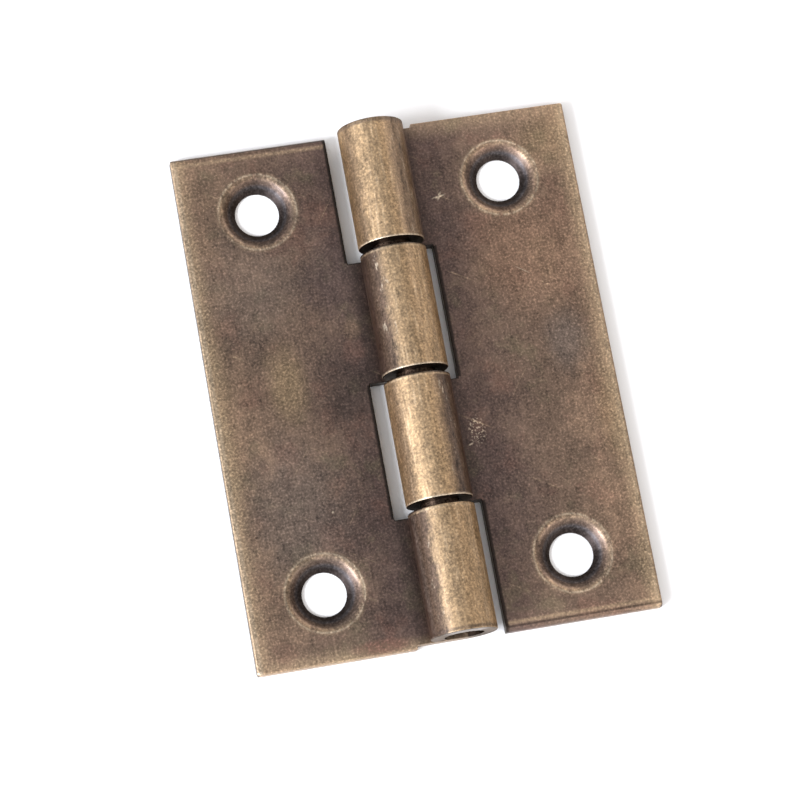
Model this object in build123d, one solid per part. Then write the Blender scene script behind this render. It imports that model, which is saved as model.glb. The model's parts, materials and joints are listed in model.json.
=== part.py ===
from build123d import *
import math
import os

# A small butt hinge, opened flat, in millimetres.
# X runs across the leaves, Y along the pin and Z up from the leaves' backs.
# The origin is on the back plane, straight under the middle of the pin.

# Leaves, two pressings of one shape
leaf_length = 38.0
leaf_reach = 14.6  # from the pin's axis to a leaf's outer edge
sheet_thickness = 1.0
corner_rounding = 0.18  # corner of a leaf's outline beside its outer knuckle
notch_rounding = 0.1  # inner corners of its notches
rim_rounding = 0.15  # upper edge of the outline, and the corner at the far end
far_rounding = 0.42  # upper edge of the far end, drawn down where the strip was cut off
notch_edge_rounding = 0.06  # upper edges of the notches and tongues
back_rounding = 0.1  # edges of the back, which is also the outside of a knuckle
leaf_stagger = 0.18  # the right leaf lies this much further along the pin

# Pin
pin_diameter = 2.7
pin_clearance = 0.05  # between pin and bore, on the radius
pin_recess = 0.5  # from an outer knuckle's end to the pin's end
pin_end_rounding = 0.35
pin_grip_length = 2.5  # swelled stretch that holds the pin in one knuckle

# Knuckles, rolled from the leaves in turn
knuckles_per_leaf = 2
knuckle_gap = 0.5
knuckle_inset = 0.28  # from a leaf's end to its outer knuckle's end
notch_clearance = 0.8  # from a knuckle to the edge of the other leaf's notch
seam_gap = 0.08  # from a roll's end to the leaf under it

# Screw holes, two in each leaf
hole_diameter = 3.2
hole_edge_inset = 5.65  # from a leaf's outer edge to its holes
hole_near_inset = 5.0  # from the end beside the outer knuckle to the first hole
hole_far_inset = 4.8  # from the far end to the other hole
hole_land = 0.22  # straight stretch of a hole, at the back
countersink_diameter = 5.2
countersink_lip = 0.8  # rounding from the countersink to the face

# Worked out from the sizes above
pin_radius = pin_diameter / 2
bore_radius = pin_radius + pin_clearance
knuckle_radius = bore_radius + sheet_thickness
pin_height = knuckle_radius
pin_axis = Axis((0, 0, pin_height), (0, 1, 0))
notch_edge = knuckle_radius + notch_clearance
leaf_low = (leaf_stagger - leaf_length) / 2
leaf_high = (leaf_stagger + leaf_length) / 2
row_end = leaf_high - knuckle_inset
knuckle_count = 2 * knuckles_per_leaf
knuckle_length = (2 * row_end - (knuckle_count - 1) * knuckle_gap) / knuckle_count
own_pitch = 2 * (knuckle_length + knuckle_gap)
pin_end = row_end - pin_recess

# Margin for picking out edges and corners by their place
touch = 0.001


def own_knuckles():
    """The right leaf's knuckles, each as its lowest and highest Y."""
    highs = [row_end - i * own_pitch for i in range(knuckles_per_leaf)]
    return [(high - knuckle_length, high) for high in highs]


def blank_outline():
    """The leaf's blank, with a tongue to the pin's axis for each knuckle."""
    width = leaf_reach - notch_edge
    outline = Pos(notch_edge + width / 2, leaf_stagger / 2) * Rectangle(width, leaf_length)
    for low, high in own_knuckles():
        tongue = Rectangle(notch_edge, knuckle_length)
        outline += Pos(notch_edge / 2, (low + high) / 2) * tongue
    near_corner = outline.vertices().sort_by(lambda v: v.X + v.Y)[-1]
    outline = fillet(near_corner, corner_rounding)
    inner = [
        v
        for v in outline.vertices()
        if abs(v.X - notch_edge) < touch and leaf_low + touch < v.Y < leaf_high - touch
    ]
    return fillet(inner, notch_rounding)


def rim(plate, side):
    """The edges round the face that looks along side."""
    return plate.faces().sort_by(side)[-1].outer_wire().edges()


def in_outline(edge):
    return edge.bounding_box().max.X > notch_edge + touch


def in_notches(edge):
    return touch < edge.center().X < notch_edge + touch


def at_far_end(edge):
    return edge.bounding_box().max.Y < leaf_low + touch


def rounded_plate():
    """The flat of a leaf, with its edges rounded except where the knuckles begin."""
    plate = extrude(blank_outline(), sheet_thickness)
    plate = fillet([e for e in rim(plate, Axis.Z) if at_far_end(e)], far_rounding)
    # From the outer edge this rounding runs on round both corners of the leaf.
    plate = fillet(rim(plate, Axis.Z).sort_by(Axis.X)[-1], rim_rounding)
    plate = fillet([e for e in rim(plate, Axis.Z) if in_notches(e)], notch_edge_rounding)
    back = [e for e in rim(plate, -Axis.Z) if in_outline(e) or in_notches(e)]
    return fillet(back, back_rounding)


def screw_hole(plate, y):
    """Cuts one countersunk hole, with the rounded lip that pressing leaves."""
    x = leaf_reach - hole_edge_inset
    straight = Pos(x, y, sheet_thickness / 2) * Cylinder(hole_diameter / 2, sheet_thickness)
    depth = sheet_thickness - hole_land
    sink = Cone(hole_diameter / 2, countersink_diameter / 2, depth)
    plate -= straight + Pos(x, y, hole_land + depth / 2) * sink
    face = plate.faces().sort_by(Axis.Z)[-1]
    mouths = face.edges().filter_by(GeomType.CIRCLE)
    mouth = mouths.sort_by(lambda e: (e.arc_center - Vector(x, y, sheet_thickness)).length)[0]
    return fillet(mouth, countersink_lip)


def rolled_knuckle(low, high):
    """The tongue carried on round the pin, until its end meets the leaf again."""
    section = Rectangle(knuckle_length, sheet_thickness)
    section = Pos((low + high) / 2, sheet_thickness / 2) * section
    outside = [v for v in section.vertices() if v.Y < touch]
    section = fillet(outside, back_rounding)
    # Three quarters of a turn bring the roll level with the pin on its leaf's side,
    # and the rest brings its outer corner down to the seam.
    drop = pin_height - sheet_thickness - seam_gap
    turn = 270 + math.degrees(math.asin(drop / knuckle_radius))
    return revolve(Plane.YZ * section, axis=pin_axis, revolution_arc=turn)


def pressed_leaf():
    """One whole leaf, lying to the right of the pin."""
    leaf = rounded_plate()
    for y in (leaf_high - hole_near_inset, leaf_low + hole_far_inset):
        leaf = screw_hole(leaf, y)
    for low, high in own_knuckles():
        leaf += rolled_knuckle(low, high)
    return leaf


def turned_pin():
    """The pin, with the swelled stretch in the right leaf's outer knuckle."""
    profile = Polyline(
        (0, -pin_end),
        (pin_radius, -pin_end),
        (pin_radius, pin_end - pin_grip_length),
        (bore_radius, pin_end - pin_grip_length),
        (bore_radius, pin_end),
        (0, pin_end),
        close=True,
    )
    half = make_face(profile)
    ends = [v for v in half.vertices() if v.X > touch and abs(v.Y) > pin_end - touch]
    half = fillet(ends, pin_end_rounding)
    return Pos(0, 0, pin_height) * revolve(half, axis=Axis.Y)


def main():
    right = pressed_leaf()
    nodes = {
        "leaf_right": right,
        "leaf_left": Rot(0, 0, 180) * right,
        "hinge_pin": turned_pin(),
    }
    os.makedirs("parts", exist_ok=True)
    for name, solid in nodes.items():
        export_step(solid, f"parts/{name}.step")


main()
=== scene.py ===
from functools import reduce
import json
import math

import bpy
from mathutils import Matrix, Vector

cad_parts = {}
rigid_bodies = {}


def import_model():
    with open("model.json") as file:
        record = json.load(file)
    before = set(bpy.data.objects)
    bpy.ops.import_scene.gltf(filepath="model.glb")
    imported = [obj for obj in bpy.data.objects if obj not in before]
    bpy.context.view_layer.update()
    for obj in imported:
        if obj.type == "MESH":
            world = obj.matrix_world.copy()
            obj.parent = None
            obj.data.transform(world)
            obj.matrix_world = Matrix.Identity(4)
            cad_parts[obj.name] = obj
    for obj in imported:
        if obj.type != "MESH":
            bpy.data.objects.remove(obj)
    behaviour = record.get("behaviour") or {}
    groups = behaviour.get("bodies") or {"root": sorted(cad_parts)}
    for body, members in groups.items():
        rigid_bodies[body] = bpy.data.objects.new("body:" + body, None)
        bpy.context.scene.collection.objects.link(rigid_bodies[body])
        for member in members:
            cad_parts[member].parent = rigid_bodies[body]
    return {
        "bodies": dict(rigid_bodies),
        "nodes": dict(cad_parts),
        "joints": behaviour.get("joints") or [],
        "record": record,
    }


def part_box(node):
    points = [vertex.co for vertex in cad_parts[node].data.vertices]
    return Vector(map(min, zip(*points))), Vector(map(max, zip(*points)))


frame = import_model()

# The looks of a small butt hinge: aged brass leaves and a dark pin, with painted highlights
# and painted shade, on a pale floor.
# The patterns are worked out in the hinge's own frame, in millimetres and degrees.
MM = 0.001

for thing in list(bpy.data.objects):
    if thing.name not in frame["nodes"] and thing not in frame["bodies"].values():
        bpy.data.objects.remove(thing)
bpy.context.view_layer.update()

pin_height = frame["joints"][0]["pos_m"][2] / MM
screw_mounts = [m for m in frame["record"]["mounts"] if m["kind"] == "bolt_pattern"]

# Colours, as the share of light that the metal gives back
SLATE = (0.094, 0.062, 0.053)
OLIVE = (0.148, 0.100, 0.072)
TAN = (0.205, 0.137, 0.092)
REDDISH = (0.170, 0.088, 0.066)
GREENISH = (0.132, 0.112, 0.068)
OCHRE = (0.270, 0.195, 0.110)
RUST_BROWN = (0.230, 0.140, 0.092)
ASH = (0.145, 0.115, 0.098)
# Plum: real stains on the flats, and also painted shade low on the knuckles' flanks
PLUM_AND_SHADE = (0.088, 0.062, 0.060)
# Umber: a real stain and smudge, and also the countersinks' mouths, where their painted shade
# begins
UMBER_AND_SHADE = (0.072, 0.051, 0.041)
# Near black: real crust and dark flakes, and also painted shade in the notches, corners,
# holes, gaps and under the rolls
CRUST_AND_SHADE = (0.016, 0.010, 0.007)
# Cone grey: the countersinks' darker film, deepened by painted shade
CONE_GREY_AND_SHADE = (0.060, 0.054, 0.055)
RING_GREY = (0.115, 0.097, 0.085)
# A grey painted reflection, low on the outer knuckle's flank
GREY_REFLECTION = (0.250, 0.210, 0.180)
# Rim gold: real wear on rims and lips, and also a painted highlight line along the far end
RIM_GOLD_AND_HIGHLIGHT = (0.385, 0.283, 0.180)
# Pale gold: real nicks and flakes, and also painted highlights on edges, lips and one corner
PALE_GOLD_AND_HIGHLIGHT = (0.480, 0.400, 0.300)
KNUCKLE_BRASS = (0.302, 0.206, 0.115)
# Rubbed brass: real wear streaks on the crowns, and also a painted highlight at the knuckles'
# upper ends
RUBBED_BRASS_AND_HIGHLIGHT = (0.400, 0.300, 0.195)
# Dark brown: the knuckles' old film on their own flanks, and also painted shade on the flanks
# and along the outer edge and its side face
FLANK_BROWN_AND_SHADE = (0.094, 0.062, 0.044)

# Colour of the metal's reflection where it is seen edge on
EDGE_TINT = (0.70, 0.62, 0.54, 1.0)

# Share of clear film over the metal, which gives the whiter part of a highlight
FLAT_FILM = 0.45
KNUCKLE_FILM = 0.70
FLANK_FILM = 0.12
FILM_ROUGHNESS = 0.28

# Roughness of the metal, for the pin at both ends of its grain, and the relief's depth
LEAF_ROUGHNESS = 0.5
LEAF_RELIEF = 0.006
PIN_ROUGHNESS = (0.35, 0.55)
PIN_RELIEF = 0.004

# Noise runs from about 0 to 1 round this value.
NOISE_MIDDLE = 0.5

# Lightness of the leaves: what the patterns add to, and a factor for each leaf
BASE_SHADE = 0.95
LEAF_LIGHTNESS = {"leaf_left": 1.18, "leaf_right": 1.33}

# The near end, beside the outer knuckle: how far in it is rubbed, and how much
NEAR_RIM = {"leaf_left": (1.2, 0.75), "leaf_right": (1.6, 0.50)}

# Strength of the painted highlight line and of the painted shade line along the outer edge and
# the far end
OUTER_LINES = {"leaf_left": (0.35, 0.15), "leaf_right": (0.12, 0.60)}
FAR_LINES = {"leaf_left": (0.42, 0.10), "leaf_right": (0.45, 0.70)}

# Strength of the painted shade outline of the far end, and of the one round the outer
# knuckle's end
FAR_OUTLINE = {"leaf_left": 0.7, "leaf_right": 0.25}
END_OUTLINE = {"leaf_left": 0.2, "leaf_right": 0.9}

# Dark flanks of the knuckles, old film deepened by painted shade: the degrees from the crown
# where the flank on the leaf's own side begins and is full, how much further it begins and how
# much fainter it is on the outer knuckle, and the strength of the painted shade on the free
# side
FLANKS = {"leaf_left": (20, 44, 0, 0.0, 0.1), "leaf_right": (10, 36, -2, 0.25, 0.6)}

# Large soft stains on the flats: colour, strength, middle and half sizes
STAINS = {
    "leaf_left": (
        (ASH, 0.50, (-10.0, -8.0), (4.5, 6.5)),
        (ASH, 0.35, (-10.5, 8.5), (4.5, 5.0)),
        (OCHRE, 0.55, (-9.0, 1.2), (1.7, 3.6)),
        (OCHRE, 0.45, (-14.6, -1.0), (2.0, 9.0)),
        (PLUM_AND_SHADE, 0.42, (-4.4, 9.0), (2.6, 4.5)),
        (UMBER_AND_SHADE, 0.45, (-5.0, -0.5), (2.6, 3.2)),
    ),
    "leaf_right": (
        (RUST_BROWN, 0.60, (9.6, 8.2), (5.0, 5.5)),
        (OCHRE, 0.45, (13.9, -4.6), (1.6, 4.0)),
        (OCHRE, 0.35, (13.6, 16.6), (3.5, 2.5)),
        (ASH, 0.60, (11.5, 1.4), (1.9, 2.6)),
        (PLUM_AND_SHADE, 0.18, (5.6, -9.0), (3.2, 8.0)),
        (PLUM_AND_SHADE, 0.15, (5.0, 9.5), (1.6, 3.5)),
    ),
}

# Marks on the upper faces: colour, strength, middle, half sizes, turn in degrees, and
# whether the mark is a scatter of specks
MARKS = {
    "leaf_left": (
        (TAN, 0.60, (-3.75, 4.4), (0.9, 1.0), 0, False),
        (REDDISH, 0.70, (-5.6, -18.5), (2.6, 0.7), 0, False),
        (PALE_GOLD_AND_HIGHLIGHT, 0.80, (-7.4, -8.5), (0.13, 0.11), 0, False),
        (CRUST_AND_SHADE, 0.80, (-13.05, -9.45), (0.16, 0.12), 20, False),
        # A painted glint at the lower-left corner
        (PALE_GOLD_AND_HIGHLIGHT, 0.90, (-14.45, -18.95), (0.30, 0.14), 0, False),
    ),
    "leaf_right": (
        (PALE_GOLD_AND_HIGHLIGHT, 0.90, (4.25, 13.3), (0.62, 0.10), 10, False),
        (PALE_GOLD_AND_HIGHLIGHT, 0.80, (4.30, 13.35), (0.12, 0.46), -25, False),
        (PALE_GOLD_AND_HIGHLIGHT, 0.60, (3.8, -4.3), (0.8, 1.5), 0, True),
        (PALE_GOLD_AND_HIGHLIGHT, 0.70, (3.2, -5.2), (0.30, 0.09), 25, False),
        (PALE_GOLD_AND_HIGHLIGHT, 0.45, (9.3, 6.95), (0.90, 0.05), -33, False),
        (RIM_GOLD_AND_HIGHLIGHT, 0.55, (10.75, 5.75), (0.40, 0.32), 0, True),
    ),
}

# Where the patterns lie. A STEP says where a pattern is absent and where it is full.
# A BAND says where its middle is, and how far it reaches to both sides.

# Heights over the leaves' backs
OFF_BACK_STEP = (0.05, 0.20)
UPPER_FACE_STEP = (0.40, 0.60)
ABOVE_SHEET_STEP = (1.02, 1.10)
EDGE_BROWN_STEP = (0.86, 0.78)
EDGE_SHADE_STEP = (0.90, 0.84)

# Distances from the pin's axis across the leaves, below zero on the other leaf's side
FREE_SIDE_STEP = (0.0, -1.4)
OLIVE_STEP = (2.5, 9.5)
TAN_STEP = (9.5, 14.5)
FOOT_STEP = (3.6, 2.6)

# Distances from the pin's axis all round
BORE_STEP = (1.46, 1.43)

# Distances from a leaf's outer edge, where the first is shared with the near end
RIM_FULL = 0.10
OUTER_RIM_REACH = 1.45
OUTER_LIGHT_BAND = (0.26, 0.30)
OUTER_DARK_STEP = (0.20, 0.05)
OUTER_FACE_STEP = (0.20, 0.10)

# Distances from a leaf's far end, and for the last one from the nearer end
FAR_LIGHT_BAND = (0.60, 0.26)
FAR_DARK_BAND = (0.32, 0.16)
FAR_OUTLINE_STEP = (0.26, 0.14)
BOTH_ENDS_STEP = (3.5, 0.8)

# Distances from a leaf's near end
OUTER_KNUCKLE_STEP = (14.5, 14.0)
NOTCH_STEP = (0.50, 0.90)
PAST_END_STEP = (0.60, 1.00)
END_FACE_STEP = (0.34, 0.30)
END_OUTLINE_BAND = (0.37, 0.09)
END_BROWN_BAND = (0.50, 0.20)

# Distances from a notch's edge and from the sides of a tongue, below zero on the tongue
NOTCH_RIM_STEP = (0.32, 0.14)
TONGUE_ROOT_STEP = (0.05, 0.0)
BESIDE_TONGUE_STEP = (0.02, 0.12)
TONGUE_SIDE_STEP = (-0.12, -0.02)
TONGUE_STEP = (0.10, -0.10)
INNER_FACE_STEP = (-0.05, -0.02)

# Distances from a knuckle's lower end and from its upper end
LOW_LIP_BAND = (0.05, 0.15)
HIGH_HIGHLIGHT_BAND = (0.20, 0.14)
HIGH_DARK_STEP = (0.20, 0.06)

# Distances from a screw hole's axis
RUBBED_LIP_BAND = (2.75, 0.40)
RUBBED_LINE_BAND = (2.83, 0.13)
SMOOTH_MOUTH_BAND = (2.55, 0.30)
CONE_MOUTH_STEP = (2.60, 2.25)
CONE_STEP = (2.30, 2.00)
CONE_FOOT_STEP = (2.12, 1.80)
LAND_STEP = (1.75, 1.65)
HOLE_FILM_STEP = (2.10, 2.60)

# Degrees round the pin, from a knuckle's crown towards its own leaf
CROWN_STEP = (55, 28)
WORN_BAND = (40, 24)
LOW_FLANK_STEP = (52, 76)
GREY_BAND = (68, 12)
FREE_FLANK_BAND = (-54, 24)
UNDERSIDE_STEP = (-90, -116)

# Shares of a stain's and of a mark's half size
STAIN_STEP = (1.15, 0.25)
MARK_STEP = (1.0, 0.4)

# So near to its far end, a leaf comes no closer to the pin than its notches do.
FAR_STRIP = 0.5


class Field:
    """A number that varies over a surface: one output of a material's nodes."""

    def __init__(self, finish, socket):
        self.finish = finish
        self.socket = socket

    def math(self, operation, *others):
        node = self.finish.node("ShaderNodeMath", (self, *others))
        node.operation = operation
        return Field(self.finish, node.outputs[0])

    def __add__(self, other):
        return self.math("ADD", other)

    def __sub__(self, other):
        return self.math("SUBTRACT", other)

    def __mul__(self, other):
        return self.math("MULTIPLY", other)

    def least(self, other):
        return self.math("MINIMUM", other)

    def most(self, other):
        return self.math("MAXIMUM", other)

    def size(self):
        return self.math("ABSOLUTE")

    def between(self, none, full):
        """none where this is 0, full where this is 1, and in proportion between them."""
        return self * (full - none) + none

    def opposite(self):
        return self.between(1, 0)

    def swing(self, amount):
        """This noise as a shift to both sides of 0, by amount from end to end."""
        return (self - NOISE_MIDDLE) * amount

    def ramp(self, none, full):
        """0 where this is none, 1 where it is full, and a smooth step between them."""
        node = self.finish.node("ShaderNodeMapRange", (self, none, full))
        node.interpolation_type = "SMOOTHSTEP"
        return Field(self.finish, node.outputs[0])

    def band(self, middle, half_width):
        """1 where this is middle, falling to 0 at half_width from it."""
        return (self - middle).size().ramp(half_width, 0.0)


def turned(across, up, degrees):
    """Two fields or numbers, measured along axes that are turned by so many degrees."""
    c, s = math.cos(math.radians(degrees)), math.sin(math.radians(degrees))
    return across * c + up * s, up * c - across * s


class Finish:
    """A metal finish: a material whose patterns are written as fields."""

    def __init__(self, name):
        self.material = bpy.data.materials.new(name)
        self.material.use_nodes = True
        self.tree = self.material.node_tree
        self.shader = self.tree.nodes["Principled BSDF"]
        self.shader.inputs["Metallic"].default_value = 1.0
        self.shader.inputs["Specular Tint"].default_value = EDGE_TINT
        place = self.tree.nodes.new("ShaderNodeTexCoord").outputs["Object"]
        self.place = self.scaled(place, (1 / MM, 1 / MM, 1 / MM))
        parts = self.node("ShaderNodeSeparateXYZ", (self.place,))
        self.x, self.y, self.z = (Field(self, out) for out in parts.outputs)

    def node(self, kind, values=()):
        """Adds a node, and links or sets its first inputs."""
        made = self.tree.nodes.new(kind)
        for value, socket in zip(values, made.inputs):
            self.connect(value, socket)
        return made

    def connect(self, value, socket):
        """Links a field or another node's output to a socket, or sets it to a plain value."""
        if isinstance(value, Field):
            value = value.socket
        if isinstance(value, bpy.types.NodeSocket):
            self.tree.links.new(value, socket)
        else:
            socket.default_value = value

    def scaled(self, vector, factors):
        node = self.node("ShaderNodeVectorMath", (vector, factors))
        node.operation = "MULTIPLY"
        return node.outputs[0]

    def noise_at(self, vector, per_mm, detail, roughness, seed):
        """Noise that is read at a vector."""
        node = self.tree.nodes.new("ShaderNodeTexNoise")
        node.noise_dimensions = "4D"
        self.connect(vector, node.inputs["Vector"])
        node.inputs["W"].default_value = seed
        node.inputs["Scale"].default_value = per_mm
        node.inputs["Detail"].default_value = detail
        node.inputs["Roughness"].default_value = roughness
        return Field(self, node.outputs[0])

    def noise(self, per_mm, detail=4, roughness=0.6, stretch=(1, 1, 1), seed=0):
        """Cloudy noise from about 0 to 1, with so many clouds a millimetre."""
        return self.noise_at(self.scaled(self.place, stretch), per_mm, detail, roughness, seed)

    def hairlines(self, per_mm, turn, seed, along_scale=0.03, depth_scale=0.2):
        """Fine straight scratches, long in a direction turned from X by so many degrees."""
        along, aside = turned(self.x, self.y, turn)
        stretched = (along * along_scale, aside, self.z * depth_scale)
        place = self.node("ShaderNodeCombineXYZ", stretched)
        return self.noise_at(place.outputs[0], per_mm, detail=1, roughness=0.5, seed=seed)

    def distance(self, *offsets):
        """The length of a vector with these parts."""
        node = self.node("ShaderNodeCombineXYZ", offsets)
        length = self.node("ShaderNodeVectorMath", (node.outputs[0],))
        length.operation = "LENGTH"
        return Field(self, length.outputs["Value"])

    def oval(self, middle, half, turn=0):
        """How far a point lies from an oval's middle: 1 on the oval."""
        along, aside = turned(self.x - middle[0], self.y - middle[1], turn)
        return self.distance(along * (1 / half[0]), aside * (1 / half[1]))

    def mix(self, under, over, share):
        """The colour over on the colour under, where share is 1."""
        node = self.tree.nodes.new("ShaderNodeMix")
        node.data_type = "RGBA"
        colours = [socket for socket in node.inputs if socket.type == "RGBA"]
        for colour, socket in zip((under, over), colours):
            self.connect((*colour, 1.0) if isinstance(colour, tuple) else colour, socket)
        self.connect(share, node.inputs["Factor"])
        return [socket for socket in node.outputs if socket.type == "RGBA"][0]

    def coats(self, colour, *coats):
        """Lays coats on a colour, each with its own colour, place and strength."""
        for over, place, strength in coats:
            colour = self.mix(colour, over, place * strength)
        return colour

    def lit(self, colour, factor):
        """The colour made lighter or darker by a factor."""
        node = self.node("ShaderNodeVectorMath", (colour,))
        node.operation = "SCALE"
        self.connect(factor, node.inputs["Scale"])
        return node.outputs[0]

    def paint(self, colour, roughness, height, depth):
        """Sets the shader. height is 0 to 1, and depth is in millimetres."""
        bump = self.tree.nodes.new("ShaderNodeBump")
        bump.inputs["Distance"].default_value = depth * MM
        self.connect(height, bump.inputs["Height"])
        self.connect(colour, self.shader.inputs["Base Color"])
        self.connect(roughness, self.shader.inputs["Roughness"])
        self.connect(bump.outputs[0], self.shader.inputs["Normal"])


def mesh_points(node):
    """The points of a CAD node's mesh, in millimetres."""
    return [vertex.co / MM for vertex in frame["nodes"][node].data.vertices]


def knuckle_ends(node):
    """The lowest and the highest Y of each of a leaf's two knuckles."""
    rows = sorted(point.y for point in mesh_points(node) if point.z > pin_height)
    steps = [after - before for before, after in zip(rows, rows[1:])]
    gap = steps.index(max(steps))
    return (rows[0], rows[gap]), (rows[gap + 1], rows[-1])


def notch_edge(node, far_end):
    """How far a leaf's notches stay from the pin's axis."""
    points = mesh_points(node)
    return min(abs(point.x) for point in points if abs(point.y - far_end) < FAR_STRIP)


class LeafFinish(Finish):
    """Aged brass for one leaf: a dark film, rubbed to gold on the rims and knuckles, with
    painted highlights and painted shade.
    """

    def __init__(self, node, mount):
        super().__init__(f"aged_brass_{node}")
        self.node_name = node
        self.measure(mount)
        self.make_patterns()
        flat = self.film()
        for layer in (self.stains, self.rims, self.holes, self.marks, self.notches, self.feet):
            flat = layer(flat)
        colour = self.mix(flat, self.knuckles(), self.knuckle)
        self.connect(self.clear_film(), self.shader.inputs["Coat Weight"])
        self.shader.inputs["Coat Roughness"].default_value = FILM_ROUGHNESS
        self.paint(self.lit(colour, self.speckle), self.gloss(), self.relief(), LEAF_RELIEF)

    def measure(self, mount):
        """Where a point lies on the leaf: its distances, its roll angle and its region."""
        x, y, z = self.x, self.y, self.z
        low, high = (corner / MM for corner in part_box(self.node_name))
        side = 1 if high.x > -low.x else -1
        near_end, far_end = (high.y, low.y) if side > 0 else (low.y, high.y)
        hole_x, hole_middle = mount["pos_m"][0] / MM, mount["pos_m"][1] / MM
        hole_y = mount["dims"]["spacing_y_mm"] / 2
        self.from_pin = x.size()
        self.from_outer = self.from_pin * -1 + max(high.x, -low.x)
        self.from_near = (y - near_end).size()
        self.from_far = (y - far_end).size()
        self.from_hole = self.distance(x - hole_x, (y - hole_middle).size() - hole_y)
        own_side = x * side
        self.roll = own_side.math("ARCTAN2", z - pin_height) * math.degrees(1)
        self.from_axis = self.distance(x, z - pin_height)
        self.knuckle = z.ramp(*ABOVE_SHEET_STEP).most(own_side.ramp(*FREE_SIDE_STEP))
        self.upper = z.ramp(*UPPER_FACE_STEP)
        self.off_back = z.ramp(*OFF_BACK_STEP)
        ends = knuckle_ends(self.node_name)
        self.from_low = reduce(Field.least, [(y - low).size() for low, high in ends])
        self.from_high = reduce(Field.least, [(y - high).size() for low, high in ends])
        beside = [(y - (low + high) / 2).size() - (high - low) / 2 for low, high in ends]
        self.off_tongue = reduce(Field.least, beside)
        self.notch_edge = notch_edge(self.node_name, far_end)

    def make_patterns(self):
        """The noises, and from them how light each point is."""
        self.clouds = self.noise(0.16, detail=4, roughness=0.5)
        self.patches = self.noise(0.55, detail=5, roughness=0.6)
        self.tint = self.noise(0.30, detail=6, roughness=0.62, seed=7)
        self.mottle = self.noise(1.9, detail=4, roughness=0.65, seed=3)
        self.grain = self.noise(6.0, detail=2, roughness=0.6)
        self.streaks = self.noise(3.2, detail=4, roughness=0.65, stretch=(1, 0.12, 1), seed=5)
        self.flakes = self.noise(2.6, detail=4, roughness=0.7, stretch=(1, 0.35, 1), seed=9)
        rising = self.hairlines(5.0, turn=55, seed=11)
        self.scratches = rising.most(self.hairlines(4.0, turn=-30, seed=13))
        flecks = self.grain.ramp(0.54, 0.68) * self.knuckle.between(0.4, 0.2)
        spots = self.mottle.swing(self.knuckle.between(1.1, 0.6))
        lines = self.streaks.swing(self.knuckle.between(0.8, 1.1))
        fine = self.grain.swing(1.9) + spots + lines
        broad = self.patches.swing(0.7) + self.clouds.swing(0.5)
        ends = self.from_near.least(self.from_far).ramp(*BOTH_ENDS_STEP) * 0.2
        calm = self.knuckle.between(1.0, 0.3)
        shade = flecks + fine + (broad + ends) * calm + BASE_SHADE
        self.speckle = shade * LEAF_LIGHTNESS[self.node_name]

    def film(self):
        """The flat of the leaf, darker and more purple towards the pin."""
        drift = self.from_pin + self.clouds.swing(8) + self.patches.swing(7)
        lines = self.scratches.ramp(0.68, 0.78) * self.patches.ramp(0.42, 0.6)
        return self.coats(
            SLATE,
            (OLIVE, drift.ramp(*OLIVE_STEP), 1),
            (TAN, drift.ramp(*TAN_STEP), 1),
            (REDDISH, self.tint.ramp(0.52, 0.66), 0.35),
            (GREENISH, self.tint.ramp(0.47, 0.34), 0.4),
            (RIM_GOLD_AND_HIGHLIGHT, lines * self.upper, 0.45),
        )

    def stains(self, colour):
        """Large soft stains with ragged edges."""
        for stain, strength, middle, half in STAINS[self.node_name]:
            reach = self.oval(middle, half) + self.patches.swing(0.9)
            colour = self.mix(colour, stain, reach.ramp(*STAIN_STEP) * strength)
        return colour

    def rims(self, colour):
        """The rubbed rims, with painted highlight and shade lines, a painted shade outline,
        and painted shade on the outer side face.
        """
        ragged = self.patches.swing(1.6) + self.mottle.swing(0.8)
        outer = (self.from_outer + ragged).ramp(OUTER_RIM_REACH, RIM_FULL)
        reach, rubbed = NEAR_RIM[self.node_name]
        near = (self.from_near + ragged).ramp(reach, RIM_FULL) * rubbed
        outer_light, outer_dark = OUTER_LINES[self.node_name]
        far_light, far_dark = FAR_LINES[self.node_name]
        outer_face = self.from_outer.ramp(*OUTER_FACE_STEP)
        return self.coats(
            colour,
            (RIM_GOLD_AND_HIGHLIGHT, outer.most(near), 0.72),
            # Painted light from here on: highlight lines, shade lines, the far end's shade
            # outline, and shade on the outer side face
            (PALE_GOLD_AND_HIGHLIGHT, self.from_outer.band(*OUTER_LIGHT_BAND), outer_light),
            (FLANK_BROWN_AND_SHADE, self.from_outer.ramp(*OUTER_DARK_STEP), outer_dark),
            (RIM_GOLD_AND_HIGHLIGHT, self.from_far.band(*FAR_LIGHT_BAND), far_light),
            (CRUST_AND_SHADE, self.from_far.band(*FAR_DARK_BAND), far_dark),
            (CRUST_AND_SHADE, self.from_far.ramp(*FAR_OUTLINE_STEP), FAR_OUTLINE[self.node_name]),
            (FLANK_BROWN_AND_SHADE, self.z.ramp(*EDGE_BROWN_STEP) * outer_face, 1),
            (CRUST_AND_SHADE, self.z.ramp(*EDGE_SHADE_STEP) * outer_face, 0.7),
        )

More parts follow.
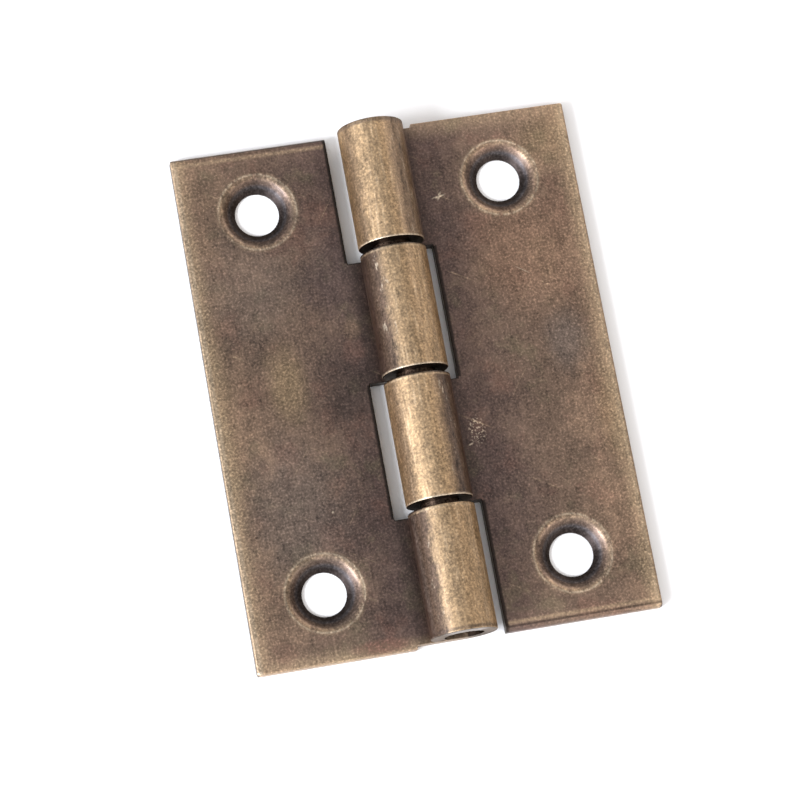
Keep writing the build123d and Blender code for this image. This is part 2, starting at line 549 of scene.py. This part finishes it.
    def holes(self, colour):
        """Countersinks: a cone that darkens inwards, its darker film deepened by painted shade
        towards the hole, inside a thin rubbed line.
        """
        lip = (self.from_hole + self.mottle.swing(0.2)).band(*RUBBED_LIP_BAND)
        line = (self.from_hole + self.patches.swing(0.12)).band(*RUBBED_LINE_BAND)
        sunk = self.coats(
            colour,
            (RIM_GOLD_AND_HIGHLIGHT, lip * self.flakes.ramp(0.3, 0.6), 0.5),
            (PALE_GOLD_AND_HIGHLIGHT, line * self.flakes.ramp(0.35, 0.55), 0.45),
            # The cone darkens inwards: darker film deepened by painted shade
            (UMBER_AND_SHADE, self.from_hole.ramp(*CONE_MOUTH_STEP), 0.8),
            (CONE_GREY_AND_SHADE, self.from_hole.ramp(*CONE_STEP), 1),
            (CRUST_AND_SHADE, self.from_hole.ramp(*CONE_FOOT_STEP), 0.7),
        )
        return self.mix(colour, sunk, self.off_back.most(self.from_hole.ramp(*LAND_STEP)))

    def marks(self, colour):
        """Single small marks, each one solid or a scatter of specks."""
        solid = (self.mottle + self.grain).ramp(0.65, 1.05)
        specks = self.grain.ramp(0.52, 0.62)
        for mark, strength, middle, half, turn, scattered in MARKS[self.node_name]:
            inside = self.oval(middle, half, turn).ramp(*MARK_STEP)
            share = inside * (specks if scattered else solid)
            colour = self.mix(colour, mark, share * self.upper * strength)
        return colour

    def notches(self, colour):
        """The edges of the notches and the sides of the tongues, painted black as shade."""
        past_end = self.from_near.ramp(*NOTCH_STEP)
        rim = self.from_pin.ramp(*(self.notch_edge + past for past in NOTCH_RIM_STEP))
        root = self.from_pin.ramp(*(self.notch_edge + past for past in TONGUE_ROOT_STEP))
        beside_tongue = self.off_tongue.ramp(*BESIDE_TONGUE_STEP) * past_end
        return self.coats(
            colour,
            (CRUST_AND_SHADE, rim * beside_tongue, 1),
            (CRUST_AND_SHADE, self.off_tongue.ramp(*TONGUE_SIDE_STEP) * (root * past_end), 1),
        )

    def feet(self, colour):
        """Painted shade in the corner beside each roll."""
        corner = (self.from_pin + self.mottle.swing(0.5)).ramp(*FOOT_STEP)
        return self.mix(colour, CRUST_AND_SHADE, corner * self.off_tongue.ramp(*TONGUE_STEP) * 0.5)

    def knuckles(self):
        """The rolls: rubbed crowns, dark flanks with flakes, and their ends, with painted
        shade on the flanks, ends, bore and underside and painted highlights on the end lips.
        """
        outer_knuckle = self.from_near.ramp(*OUTER_KNUCKLE_STEP)
        begins, full, further, fainter, free_side = FLANKS[self.node_name]
        own_side = self.roll + self.patches.swing(26) + self.mottle.swing(18)
        flank = (own_side - outer_knuckle * further).ramp(begins, full)
        worn = own_side.band(*WORN_BAND) * outer_knuckle.between(1.0, 0.7)
        past_end = self.from_near.ramp(*PAST_END_STEP)
        lip = (self.from_low + self.flakes.swing(0.1)).band(*LOW_LIP_BAND)
        end_face = self.from_near.ramp(*END_FACE_STEP)
        end_outline = self.from_near.band(*END_OUTLINE_BAND) * self.flakes.between(0.2, 1.0)
        inner_face = self.off_tongue.ramp(*INNER_FACE_STEP) - end_face
        bore = self.from_axis.ramp(*BORE_STEP)
        below = self.roll.ramp(*UNDERSIDE_STEP) * 0.65
        return self.coats(
            KNUCKLE_BRASS,
            (RUBBED_BRASS_AND_HIGHLIGHT, self.streaks.ramp(0.5, 0.75), 0.8),
            (OLIVE, self.mottle.ramp(0.5, 0.25), 0.2),
            # Painted shade on both flanks, over the own flank's old film
            (FLANK_BROWN_AND_SHADE, flank, outer_knuckle.between(1.0, 1.0 - fainter)),
            (FLANK_BROWN_AND_SHADE, own_side.band(*FREE_FLANK_BAND), free_side),
            # Painted shade low on the flank beside the leaf
            (PLUM_AND_SHADE, own_side.ramp(*LOW_FLANK_STEP), 0.3),
            (CRUST_AND_SHADE, self.flakes.ramp(0.48, 0.38) * worn, 0.75),
            (PALE_GOLD_AND_HIGHLIGHT, self.flakes.ramp(0.57, 0.68) * worn, 0.65),
            # Painted reflection: a grey line low on the outer knuckle's flank
            (GREY_REFLECTION, self.roll.band(*GREY_BAND) * outer_knuckle, 0.25),
            # Painted highlights on the lower end lips and the upper ends
            (PALE_GOLD_AND_HIGHLIGHT, lip * past_end, 0.75),
            (RUBBED_BRASS_AND_HIGHLIGHT, self.from_high.band(*HIGH_HIGHLIGHT_BAND) * past_end, 0.5),
            # Painted shade on the inner knuckles' upper ends
            (CRUST_AND_SHADE, self.from_high.ramp(*HIGH_DARK_STEP) * outer_knuckle.opposite(), 0.85),
            (UMBER_AND_SHADE, self.from_near.band(*END_BROWN_BAND), 0.6),
            (RING_GREY, end_face, 1),
            # Painted shade: a dark outline at the outer knuckle's end, and black on the inner
            # end faces, in the bore and under the roll
            (CRUST_AND_SHADE, end_outline, END_OUTLINE[self.node_name]),
            (CRUST_AND_SHADE, inner_face.most(bore).most(below), 1),
        )

    def gloss(self):
        """The roughness, a little less on the countersinks' mouths."""
        rough = self.grain.swing(0.3) + self.patches.swing(0.3) + LEAF_ROUGHNESS
        return rough - self.from_hole.band(*SMOOTH_MOUTH_BAND) * self.off_back * 0.1

    def clear_film(self):
        """How much clear film covers the metal: none is left deep in the holes."""
        crown = self.roll.size().ramp(*CROWN_STEP)
        film = self.knuckle.between(FLAT_FILM, crown.between(FLANK_FILM, KNUCKLE_FILM))
        return film * self.from_hole.ramp(*HOLE_FILM_STEP).most(self.off_back.opposite())

    def relief(self):
        """The height of the finest unevenness, half grain and half streaks."""
        return self.grain * 0.5 + self.streaks * 0.5


def pin_finish():
    """A nearly black wire, its darkness partly painted shade for the gaps between the
    knuckles, with fine drawing lines along it.
    """
    finish = Finish("dark_wire_and_shade")
    grain = finish.noise(6.0, detail=3)
    lines = finish.noise(9.0, detail=2, stretch=(1, 0.05, 1))
    colour = finish.mix(CRUST_AND_SHADE, OLIVE, grain.ramp(0.3, 0.8))
    finish.paint(colour, grain.between(*PIN_ROUGHNESS), lines, PIN_RELIEF)
    return finish.material


def dress():
    """Gives each CAD node its finish."""
    leaf_mounts = {"leaf_left": screw_mounts[0], "leaf_right": screw_mounts[1]}
    for node, mount in leaf_mounts.items():
        frame["nodes"][node].material_slots[0].material = LeafFinish(node, mount).material
    frame["nodes"]["hinge_pin"].material_slots[0].material = pin_finish()


# Floor: half its width, and how far it lies below the hinge's back
FLOOR_REACH = 1.5
FLOOR_DROP = 0.01 * MM
FLOOR_WHITE = (0.90, 0.90, 0.90, 1.0)
FLOOR_ROUGHNESS = 0.9

# Sky: white towards -X and shaded towards +X, between these two values of a direction's X
SKY_WHITE = (0.98, 1.0, 1.04, 1.0)
SKY_SHADE = (0.60, 0.57, 0.55, 1.0)
SHADE_FROM = -0.08
SHADE_FULL = 0.30

# Its strength, and how much of it a direction along each axis adds
SKY_STRENGTH = 1.26
SKY_TILT = (-0.20, -0.45, -0.45)

# Square soft lights: directions from the hinge, distance and sizes in metres, power in watts
LIGHT_DISTANCE = 0.40
KEY_FROM = Vector((-0.82, -0.32, 0.60))
KEY_SIZE = 0.17
KEY_POWER = 2.1
KEY_COLOUR = (0.97, 1.0, 1.08)
FILLS_FROM = (Vector((0.62, 0.62, 0.48)), Vector((0.62, -0.62, 0.48)))
FILL_SIZE = 0.30
FILL_POWER = 0.55
FILL_COLOUR = (1.0, 0.92, 0.86)


def make_floor():
    """A plain pale square, right under the hinge."""
    corners = [(-1, -1), (1, -1), (1, 1), (-1, 1)]
    points = [(a * FLOOR_REACH, b * FLOOR_REACH, -FLOOR_DROP) for a, b in corners]
    mesh = bpy.data.meshes.new("floor")
    mesh.from_pydata(points, [], [(0, 1, 2, 3)])
    floor = bpy.data.objects.new("floor", mesh)
    bpy.context.scene.collection.objects.link(floor)
    pale = bpy.data.materials.new("pale_floor")
    pale.use_nodes = True
    shader = pale.node_tree.nodes["Principled BSDF"]
    shader.inputs["Base Color"].default_value = FLOOR_WHITE
    shader.inputs["Roughness"].default_value = FLOOR_ROUGHNESS
    mesh.materials.append(pale)


def make_sky():
    """A white studio, brighter on the side that SKY_TILT points to and shaded towards +X."""
    world = bpy.data.worlds.new("studio")
    world.use_nodes = True
    nodes, links = world.node_tree.nodes, world.node_tree.links
    sky = nodes["Background"]
    toward = nodes.new("ShaderNodeTexCoord")
    parts = nodes.new("ShaderNodeSeparateXYZ")
    shade = nodes.new("ShaderNodeMapRange")
    shade.inputs["From Min"].default_value = SHADE_FROM
    shade.inputs["From Max"].default_value = SHADE_FULL
    tint = nodes.new("ShaderNodeMixRGB")
    tint.inputs["Color1"].default_value = SKY_WHITE
    tint.inputs["Color2"].default_value = SKY_SHADE
    links.new(toward.outputs["Generated"], parts.inputs[0])
    links.new(parts.outputs["X"], shade.inputs["Value"])
    links.new(shade.outputs["Result"], tint.inputs["Fac"])
    links.new(tint.outputs["Color"], sky.inputs["Color"])
    tilt = nodes.new("ShaderNodeVectorMath")
    tilt.operation = "DOT_PRODUCT"
    tilt.inputs[1].default_value = SKY_TILT
    strength = nodes.new("ShaderNodeMath")
    strength.operation = "ADD"
    strength.inputs[1].default_value = SKY_STRENGTH
    links.new(toward.outputs["Generated"], tilt.inputs[0])
    links.new(tilt.outputs["Value"], strength.inputs[0])
    links.new(strength.outputs[0], sky.inputs["Strength"])
    bpy.context.scene.world = world


def make_softbox(name, toward, size, power, colour):
    """A square soft light that shines on the hinge from that direction."""
    light = bpy.data.lights.new(name, "AREA")
    light.size = size
    light.energy = power
    light.color = colour
    lamp = bpy.data.objects.new(name, light)
    bpy.context.scene.collection.objects.link(lamp)
    lamp.location = toward.normalized() * LIGHT_DISTANCE
    lamp.rotation_mode = "QUATERNION"
    lamp.rotation_quaternion = toward.to_track_quat("Z", "Y")


# Camera, fitted to the photograph's view of the two leaves. Lens and sensor are in
# millimetres, and CAMERA_NEAR in metres.
CAMERA_AZIMUTH = math.radians(-32.364)
CAMERA_ELEVATION = math.radians(75.386)
CAMERA_ROLL = math.radians(22.708)
CAMERA_DISTANCE = 208.724 * MM
CAMERA_TARGET = Vector((-1.247, -1.227, 1.0)) * MM
CAMERA_LENS = 131.557
CAMERA_SENSOR = 36.0
CAMERA_NEAR = 0.01


def make_camera():
    """The photograph's camera, as the scene's camera."""
    data = bpy.data.cameras.new("camera")
    data.lens = CAMERA_LENS
    data.sensor_width = CAMERA_SENSOR
    data.clip_start = CAMERA_NEAR
    camera = bpy.data.objects.new("camera", data)
    bpy.context.scene.collection.objects.link(camera)
    level = math.cos(CAMERA_ELEVATION)
    back = Vector((
        math.sin(CAMERA_AZIMUTH) * level,
        -math.cos(CAMERA_AZIMUTH) * level,
        math.sin(CAMERA_ELEVATION),
    ))
    right = Vector((math.cos(CAMERA_AZIMUTH), math.sin(CAMERA_AZIMUTH), 0))
    turn = Matrix.Rotation(-CAMERA_ROLL, 3, -back)
    right = turn @ right
    up = back.cross(right)
    axes = Matrix((right, up, back)).transposed()
    camera.location = CAMERA_TARGET + back * CAMERA_DISTANCE
    camera.rotation_mode = "QUATERNION"
    camera.rotation_quaternion = axes.to_quaternion()
    bpy.context.scene.camera = camera


dress()
make_floor()
make_sky()
make_softbox("key", KEY_FROM, KEY_SIZE, KEY_POWER, KEY_COLOUR)
for number, toward in enumerate(FILLS_FROM, 1):
    make_softbox(f"fill_{number}", toward, FILL_SIZE, FILL_POWER, FILL_COLOUR)
make_camera()
bpy.context.scene.view_settings.view_transform = "Standard"
